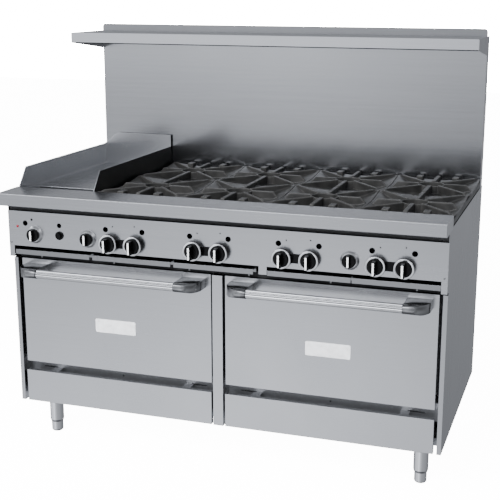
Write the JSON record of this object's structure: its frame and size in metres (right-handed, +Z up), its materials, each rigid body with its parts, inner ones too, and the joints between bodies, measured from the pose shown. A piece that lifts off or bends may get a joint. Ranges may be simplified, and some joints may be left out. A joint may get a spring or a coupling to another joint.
{
  "type": "commercial gas range",
  "caption": "Restaurant gas range with griddle, open burners, ovens with drop-down doors, crumb trays, backguard and high shelf.",
  "frame": {"origin": "on the floor under the middle of the range", "axes": "+X to the right along the front, +Y to the back, +Z up"},
  "size_m": [1.5, 0.876, 1.448],
  "materials": {
    "brushed_steel": "fine vertical and horizontal brushing, satin",
    "galvanised_steel": "dull zinc sheet",
    "dark_steel": "dark heat-proof coating",
    "griddle_steel": "ground plate, slightly seasoned",
    "cast_iron": "matt black, rough cast",
    "chrome": "polished",
    "black_plastic": "gloss black",
    "brass": "dull machined",
    "enamel": "dark porcelain enamel",
    "mineral_wool": "fibrous"
  },
  "bodies": {
    "range": {"side_panels": "brushed_steel", "back_panel": "galvanised_steel", "base_frame": "galvanised_steel", "front_frame": "brushed_steel", "front_rail": "brushed_steel", "control_panel": "brushed_steel", "dial_bezels": "chrome", "panel_trim": "black_plastic", "backguard": "brushed_steel", "high_shelf": "brushed_steel", "top_frame": "dark_steel", "griddle_plate": "griddle_steel", "griddle_splash": "brushed_steel", "burners": "cast_iron", "gas_manifold": "brass", "gas_valves": "brass", "oven_liners": "enamel", "oven_insulation": "mineral_wool", "oven_racks": "chrome", "legs": "brushed_steel", "fasteners": "chrome"},
    "door_left": {"door_skin_left": "brushed_steel", "door_liner_left": "enamel", "door_handle_left": "chrome", "door_plate_left": "chrome"},
    "door_right": {"door_skin_right": "brushed_steel", "door_liner_right": "enamel", "door_handle_right": "chrome", "door_plate_right": "chrome"},
    "kick_left": {"kick_panel_left": "brushed_steel"},
    "kick_right": {"kick_panel_right": "brushed_steel"},
    "tray_1": {"tray_1": "brushed_steel"},
    "tray_2": {"tray_2": "brushed_steel"},
    "tray_3": {"tray_3": "brushed_steel"},
    "tray_4": {"tray_4": "brushed_steel"},
    "tray_5": {"tray_5": "brushed_steel"},
    "grate_front_1": {"grate_front_1": "cast_iron"},
    "grate_front_2": {"grate_front_2": "cast_iron"},
    "grate_front_3": {"grate_front_3": "cast_iron"},
    "grate_front_4": {"grate_front_4": "cast_iron"},
    "grate_rear_1": {"grate_rear_1": "cast_iron"},
    "grate_rear_2": {"grate_rear_2": "cast_iron"},
    "grate_rear_3": {"grate_rear_3": "cast_iron"},
    "grate_rear_4": {"grate_rear_4": "cast_iron"},
    "burner_knob_1": {"burner_knob_1": "black_plastic"},
    "burner_knob_2": {"burner_knob_2": "black_plastic"},
    "burner_knob_3": {"burner_knob_3": "black_plastic"},
    "burner_knob_4": {"burner_knob_4": "black_plastic"},
    "burner_knob_5": {"burner_knob_5": "black_plastic"},
    "burner_knob_6": {"burner_knob_6": "black_plastic"},
    "burner_knob_7": {"burner_knob_7": "black_plastic"},
    "burner_knob_8": {"burner_knob_8": "black_plastic"},
    "oven_knob_left": {"oven_knob_left": "black_plastic"},
    "griddle_knob": {"griddle_knob": "black_plastic"},
    "oven_knob_right": {"oven_knob_right": "black_plastic"},
    "igniter_button": {"igniter_button": "black_plastic"},
    "foot_1": {"foot_1": "brushed_steel"},
    "foot_2": {"foot_2": "brushed_steel"},
    "foot_3": {"foot_3": "brushed_steel"},
    "foot_4": {"foot_4": "brushed_steel"}
  },
  "joints": [
    {"name": "door_left_hinge", "type": "hinge", "parent": "range", "child": "door_left", "pos_m": [-0.374, -0.32, 0.315], "axis": [1, 0, 0], "range_deg": [0, 90]},
    {"name": "door_right_hinge", "type": "hinge", "parent": "range", "child": "door_right", "pos_m": [0.374, -0.32, 0.315], "axis": [1, 0, 0], "range_deg": [0, 90]},
    {"name": "kick_left_slide", "type": "slide", "parent": "range", "child": "kick_left", "axis": [0, -1, 0], "range_m": [0, 0.12]},
    {"name": "kick_right_slide", "type": "slide", "parent": "range", "child": "kick_right", "axis": [0, -1, 0], "range_m": [0, 0.12]},
    {"name": "tray_1_slide", "type": "slide", "parent": "range", "child": "tray_1", "axis": [0, -1, 0], "range_m": [0, 0.4]},
    {"name": "tray_2_slide", "type": "slide", "parent": "range", "child": "tray_2", "axis": [0, -1, 0], "range_m": [0, 0.4]},
    {"name": "tray_3_slide", "type": "slide", "parent": "range", "child": "tray_3", "axis": [0, -1, 0], "range_m": [0, 0.4]},
    {"name": "tray_4_slide", "type": "slide", "parent": "range", "child": "tray_4", "axis": [0, -1, 0], "range_m": [0, 0.4]},
    {"name": "tray_5_slide", "type": "slide", "parent": "range", "child": "tray_5", "axis": [0, -1, 0], "range_m": [0, 0.4]},
    {"name": "grate_front_1_lift", "type": "slide", "parent": "range", "child": "grate_front_1", "axis": [0, 0, 1], "range_m": [0, 0.12]},
    {"name": "grate_front_2_lift", "type": "slide", "parent": "range", "child": "grate_front_2", "axis": [0, 0, 1], "range_m": [0, 0.12]},
    {"name": "grate_front_3_lift", "type": "slide", "parent": "range", "child": "grate_front_3", "axis": [0, 0, 1], "range_m": [0, 0.12]},
    {"name": "grate_front_4_lift", "type": "slide", "parent": "range", "child": "grate_front_4", "axis": [0, 0, 1], "range_m": [0, 0.12]},
    {"name": "grate_rear_1_lift", "type": "slide", "parent": "range", "child": "grate_rear_1", "axis": [0, 0, 1], "range_m": [0, 0.12]},
    {"name": "grate_rear_2_lift", "type": "slide", "parent": "range", "child": "grate_rear_2", "axis": [0, 0, 1], "range_m": [0, 0.12]},
    {"name": "grate_rear_3_lift", "type": "slide", "parent": "range", "child": "grate_rear_3", "axis": [0, 0, 1], "range_m": [0, 0.12]},
    {"name": "grate_rear_4_lift", "type": "slide", "parent": "range", "child": "grate_rear_4", "axis": [0, 0, 1], "range_m": [0, 0.12]},
    {"name": "burner_knob_1_turn", "type": "hinge", "parent": "range", "child": "burner_knob_1", "pos_m": [-0.37, -0.378, 0.759], "axis": [0, -1, 0], "range_deg": [0, 180]},
    {"name": "burner_knob_2_turn", "type": "hinge", "parent": "range", "child": "burner_knob_2", "pos_m": [-0.281, -0.378, 0.759], "axis": [0, -1, 0], "range_deg": [0, 180]},
    {"name": "burner_knob_3_turn", "type": "hinge", "parent": "range", "child": "burner_knob_3", "pos_m": [-0.07, -0.378, 0.759], "axis": [0, -1, 0], "range_deg": [0, 180]},
    {"name": "burner_knob_4_turn", "type": "hinge", "parent": "range", "child": "burner_knob_4", "pos_m": [0.019, -0.378, 0.759], "axis": [0, -1, 0], "range_deg": [0, 180]},
    {"name": "burner_knob_5_turn", "type": "hinge", "parent": "range", "child": "burner_knob_5", "pos_m": [0.23, -0.378, 0.759], "axis": [0, -1, 0], "range_deg": [0, 180]},
    {"name": "burner_knob_6_turn", "type": "hinge", "parent": "range", "child": "burner_knob_6", "pos_m": [0.319, -0.378, 0.759], "axis": [0, -1, 0], "range_deg": [0, 180]},
    {"name": "burner_knob_7_turn", "type": "hinge", "parent": "range", "child": "burner_knob_7", "pos_m": [0.53, -0.378, 0.759], "axis": [0, -1, 0], "range_deg": [0, 180]},
    {"name": "burner_knob_8_turn", "type": "hinge", "parent": "range", "child": "burner_knob_8", "pos_m": [0.619, -0.378, 0.759], "axis": [0, -1, 0], "range_deg": [0, 180]},
    {"name": "oven_knob_left_turn", "type": "hinge", "parent": "range", "child": "oven_knob_left", "pos_m": [-0.65, -0.378, 0.768], "axis": [0, -1, 0], "range_deg": [-270, 0]},
    {"name": "griddle_knob_turn", "type": "hinge", "parent": "range", "child": "griddle_knob", "pos_m": [-0.45, -0.378, 0.768], "axis": [0, -1, 0], "range_deg": [-270, 0]},
    {"name": "oven_knob_right_turn", "type": "hinge", "parent": "range", "child": "oven_knob_right", "pos_m": [0.447, -0.378, 0.768], "axis": [0, -1, 0], "range_deg": [-270, 0]},
    {"name": "igniter_button_press", "type": "slide", "parent": "range", "child": "igniter_button", "axis": [0, 1, 0], "range_m": [0, 0.005], "stiffness_N_per_m": 400, "springref_m": -0.003},
    {"name": "foot_1_turn", "type": "hinge", "parent": "range", "child": "foot_1", "pos_m": [-0.672, -0.248, 0.05], "axis": [0, 0, 1], "continuous": true},
    {"name": "foot_2_turn", "type": "hinge", "parent": "range", "child": "foot_2", "pos_m": [0.672, -0.248, 0.05], "axis": [0, 0, 1], "continuous": true},
    {"name": "foot_3_turn", "type": "hinge", "parent": "range", "child": "foot_3", "pos_m": [-0.672, 0.338, 0.05], "axis": [0, 0, 1], "continuous": true},
    {"name": "foot_4_turn", "type": "hinge", "parent": "range", "child": "foot_4", "pos_m": [0.672, 0.338, 0.05], "axis": [0, 0, 1], "continuous": true}
  ]
}
